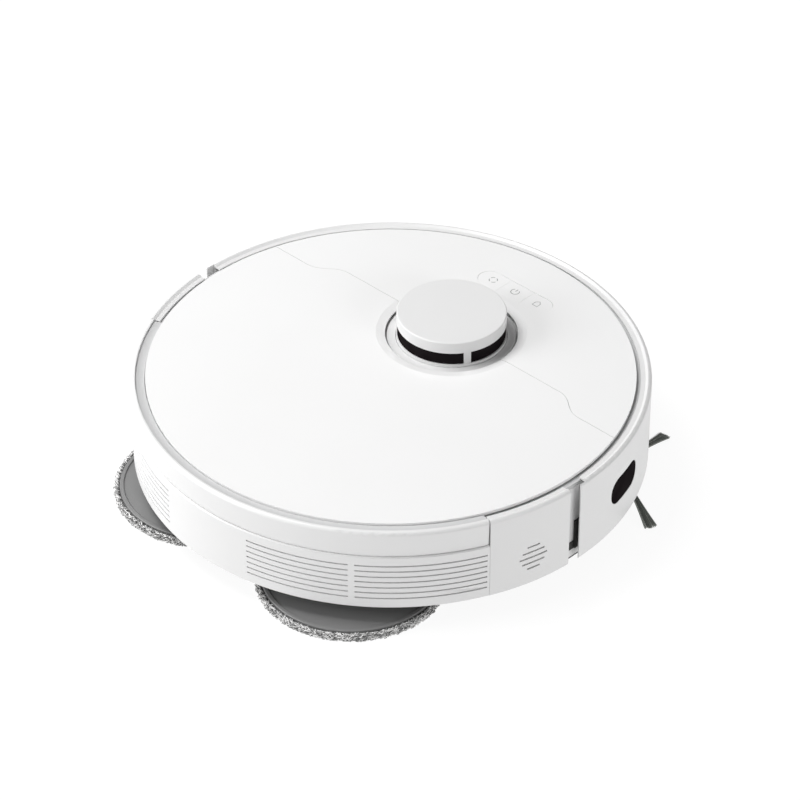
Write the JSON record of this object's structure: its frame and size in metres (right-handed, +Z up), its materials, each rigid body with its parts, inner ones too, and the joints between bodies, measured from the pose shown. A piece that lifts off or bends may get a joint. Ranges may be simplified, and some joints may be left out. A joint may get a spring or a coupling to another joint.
{
  "type": "robot vacuum",
  "caption": "Round white robot vacuum and mop with lidar tower, spring bumper, hinged rear lid, side brush, drive wheels and two rotating mop pads.",
  "frame": {"origin": "on the floor, under the middle of the round body", "axes": "+X forwards to the bumper, +Y to the machine's left, +Z up"},
  "size_m": [0.35, 0.3546, 0.0958],
  "materials": {
    "gloss_white": "high gloss moulded cover",
    "satin_white": "fine satin moulding",
    "trim_grey": "satin silver grey moulding",
    "frame_grey": "matt mid grey moulding",
    "dark_plastic": "matt black moulding",
    "window_black": "dark gloss window",
    "plate_grey": "satin dark grey moulding",
    "mop_cloth": "looped microfibre",
    "bristle": "nylon bristles",
    "rubber_black": "matt rubber",
    "tyre_rubber": "treaded rubber",
    "steel": "brushed steel",
    "contact_metal": "plated contact",
    "board_green": "coated circuit board",
    "battery_blue": "shrink sleeve",
    "tank_smoke": "smoked plastic",
    "filter_paper": "pleated paper"
  },
  "bodies": {
    "chassis": {"base_screws": "steel", "battery_pack": "battery_blue", "bin_filter": "filter_paper", "brush_guard": "plate_grey", "brush_motor": "dark_plastic", "bumper_gasket": "rubber_black", "charge_contacts": "contact_metal", "chassis_base": "dark_plastic", "cliff_sensors": "window_black", "dust_bin": "tank_smoke", "dust_bin_cover": "tank_smoke", "fan_housing": "dark_plastic", "front_cover": "gloss_white", "lds_base": "dark_plastic", "lds_belt": "rubber_black", "lds_collar": "satin_white", "lds_motor": "steel", "lid_hinge_pins": "steel", "main_board": "board_green", "mid_frame": "frame_grey", "mop_gearbox": "dark_plastic", "rear_band": "satin_white", "rear_skirt": "satin_white", "side_brush_motor": "steel", "side_panel_left": "satin_white", "side_panel_right": "satin_white", "speaker": "dark_plastic", "top_deck": "frame_grey", "trim_ring": "trim_grey", "water_pump": "dark_plastic", "water_tank": "tank_smoke"},
    "bumper": {"bumper": "satin_white", "bumper_windows": "window_black"},
    "lid": {"rear_lid": "gloss_white"},
    "spot_key": {"spot_button": "gloss_white"},
    "power_key": {"power_button": "gloss_white"},
    "home_key": {"home_button": "gloss_white"},
    "tower_cap": {"lds_cap": "satin_white"},
    "turret": {"lds_turret": "window_black"},
    "turret_pulley": {"lds_pulley": "dark_plastic"},
    "impeller": {"fan_impeller": "plate_grey"},
    "latch": {"bin_latch": "plate_grey"},
    "mop_left": {"mop_shaft_left": "steel", "mop_plate_left": "plate_grey", "mop_pad_left": "mop_cloth"},
    "mop_right": {"mop_shaft_right": "steel", "mop_plate_right": "plate_grey", "mop_pad_right": "mop_cloth"},
    "suspension_left": {"wheel_arm_left": "dark_plastic"},
    "suspension_right": {"wheel_arm_right": "dark_plastic"},
    "wheel_left": {"wheel_rim_left": "plate_grey", "wheel_tyre_left": "tyre_rubber"},
    "wheel_right": {"wheel_rim_right": "plate_grey", "wheel_tyre_right": "tyre_rubber"},
    "caster": {"caster_yoke": "plate_grey"},
    "caster_roller": {"caster_wheel": "rubber_black"},
    "side_brush": {"side_brush_hub": "plate_grey", "side_brush_bristles": "bristle"},
    "main_brush": {"main_brush_core": "plate_grey", "main_brush_fins": "rubber_black"}
  },
  "joints": [
    {"name": "bumper_press", "type": "slide", "parent": "chassis", "child": "bumper", "axis": [-1, 0, 0], "range_m": [0, 0.0025], "stiffness_N_per_m": 600, "springref_m": -0.004},
    {"name": "lid_hinge", "type": "hinge", "parent": "chassis", "child": "lid", "pos_m": [0.0752, 0, 0.0736], "axis": [0, 1, 0], "range_deg": [0, 75]},
    {"name": "spot_press", "type": "slide", "parent": "chassis", "child": "spot_key", "axis": [0, 0, -1], "range_m": [0, 0.0006], "stiffness_N_per_m": 500, "springref_m": -0.0012},
    {"name": "power_press", "type": "slide", "parent": "chassis", "child": "power_key", "axis": [0, 0, -1], "range_m": [0, 0.0006], "stiffness_N_per_m": 500, "springref_m": -0.0012},
    {"name": "home_press", "type": "slide", "parent": "chassis", "child": "home_key", "axis": [0, 0, -1], "range_m": [0, 0.0006], "stiffness_N_per_m": 500, "springref_m": -0.0012},
    {"name": "tower_cap_press", "type": "slide", "parent": "chassis", "child": "tower_cap", "axis": [0, 0, -1], "range_m": [0, 0.0008], "stiffness_N_per_m": 800, "springref_m": -0.0015},
    {"name": "turret_spin", "type": "hinge", "parent": "chassis", "child": "turret", "pos_m": [0.0592, 0, 0.07], "axis": [0, 0, 1], "continuous": true},
    {"name": "pulley_spin", "type": "hinge", "parent": "chassis", "child": "turret_pulley", "pos_m": [0.0159, 0.025, 0.068], "axis": [0, 0, 1], "continuous": true},
    {"name": "fan_spin", "type": "hinge", "parent": "chassis", "child": "impeller", "pos_m": [-0.122, 0.05, 0.045], "axis": [0, 0, 1], "continuous": true},
    {"name": "latch_slide", "type": "slide", "parent": "chassis", "child": "latch", "axis": [-1, 0, 0], "range_m": [0, 0.0025], "stiffness_N_per_m": 300, "springref_m": -0.002},
    {"name": "mop_left_spin", "type": "hinge", "parent": "chassis", "child": "mop_left", "pos_m": [-0.107, 0.068, 0.01], "axis": [0, 0, 1], "continuous": true},
    {"name": "mop_right_spin", "type": "hinge", "parent": "chassis", "child": "mop_right", "pos_m": [-0.107, -0.068, 0.01], "axis": [0, 0, 1], "continuous": true},
    {"name": "suspension_left_swing", "type": "hinge", "parent": "chassis", "child": "suspension_left", "pos_m": [0.042, 0.1065, 0.038], "axis": [0, -1, 0], "range_deg": [0, 15], "stiffness_Nm_per_rad": 0.12, "springref_deg": 80.21},
    {"name": "suspension_right_swing", "type": "hinge", "parent": "chassis", "child": "suspension_right", "pos_m": [0.042, -0.1065, 0.038], "axis": [0, -1, 0], "range_deg": [0, 15], "stiffness_Nm_per_rad": 0.12, "springref_deg": 80.21},
    {"name": "wheel_left_spin", "type": "hinge", "parent": "suspension_left", "child": "wheel_left", "pos_m": [0, 0.123, 0.034], "axis": [0, 1, 0], "continuous": true},
    {"name": "wheel_right_spin", "type": "hinge", "parent": "suspension_right", "child": "wheel_right", "pos_m": [0, -0.123, 0.034], "axis": [0, 1, 0], "continuous": true},
    {"name": "caster_swivel", "type": "hinge", "parent": "chassis", "child": "caster", "pos_m": [0.132, 0, 0.036], "axis": [0, 0, 1], "continuous": true},
    {"name": "caster_roll", "type": "hinge", "parent": "caster", "child": "caster_roller", "pos_m": [0.124, 0, 0.014], "axis": [0, 1, 0], "continuous": true},
    {"name": "side_brush_spin", "type": "hinge", "parent": "chassis", "child": "side_brush", "pos_m": [0.092, -0.124, 0.01], "axis": [0, 0, 1], "continuous": true},
    {"name": "main_brush_spin", "type": "hinge", "parent": "chassis", "child": "main_brush", "pos_m": [0.005, 0, 0.021], "axis": [0, 1, 0], "continuous": true}
  ],
  "couplings": [
    {"joint": "pulley_spin", "follows": "turret_spin", "ratio": 7.2069},
    {"joint": "mop_right_spin", "follows": "mop_left_spin", "ratio": -1}
  ]
}
